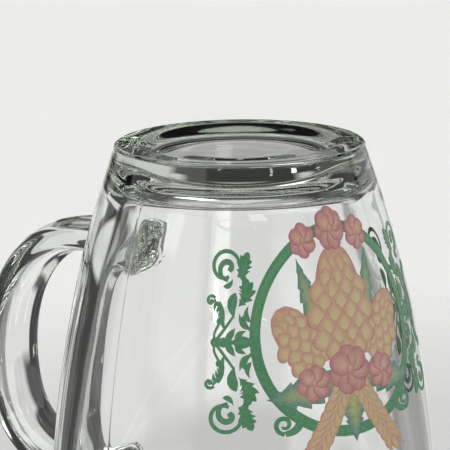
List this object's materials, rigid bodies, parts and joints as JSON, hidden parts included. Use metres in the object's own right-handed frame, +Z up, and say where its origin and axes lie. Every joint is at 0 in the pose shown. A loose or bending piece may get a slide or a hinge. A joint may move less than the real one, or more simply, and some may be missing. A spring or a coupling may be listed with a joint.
{
  "type": "beer mug",
  "caption": "Thick-walled clear glass beer mug with a fused C handle and a fired enamel print of a round frame, scrolls, hops and leaves.",
  "frame": {"origin": "centre of the foot ring's flat face, on the mug's axis", "axes": "+Z up the mug's axis towards the mouth, +X towards the handle"},
  "size_m": [0.141, 0.0996, 0.115],
  "materials": {
    "clear_glass": "fire-polished clear soda-lime glass, faintly grey-green in thick sections",
    "enamel_green": "fired screen-printed enamel, satin",
    "enamel_teal": "fired screen-printed enamel, satin",
    "enamel_ochre": "fired screen-printed enamel, satin",
    "enamel_rose": "fired screen-printed enamel, satin"
  },
  "bodies": {
    "root": {"glass_body": "clear_glass", "handle": "clear_glass", "print_ring": "enamel_green", "print_scroll_left": "enamel_green", "print_scroll_right": "enamel_green", "print_emblem_leaves": "enamel_teal", "print_emblem_cones": "enamel_ochre", "print_emblem_ribbon": "enamel_rose"}
  },
  "joints": []
}
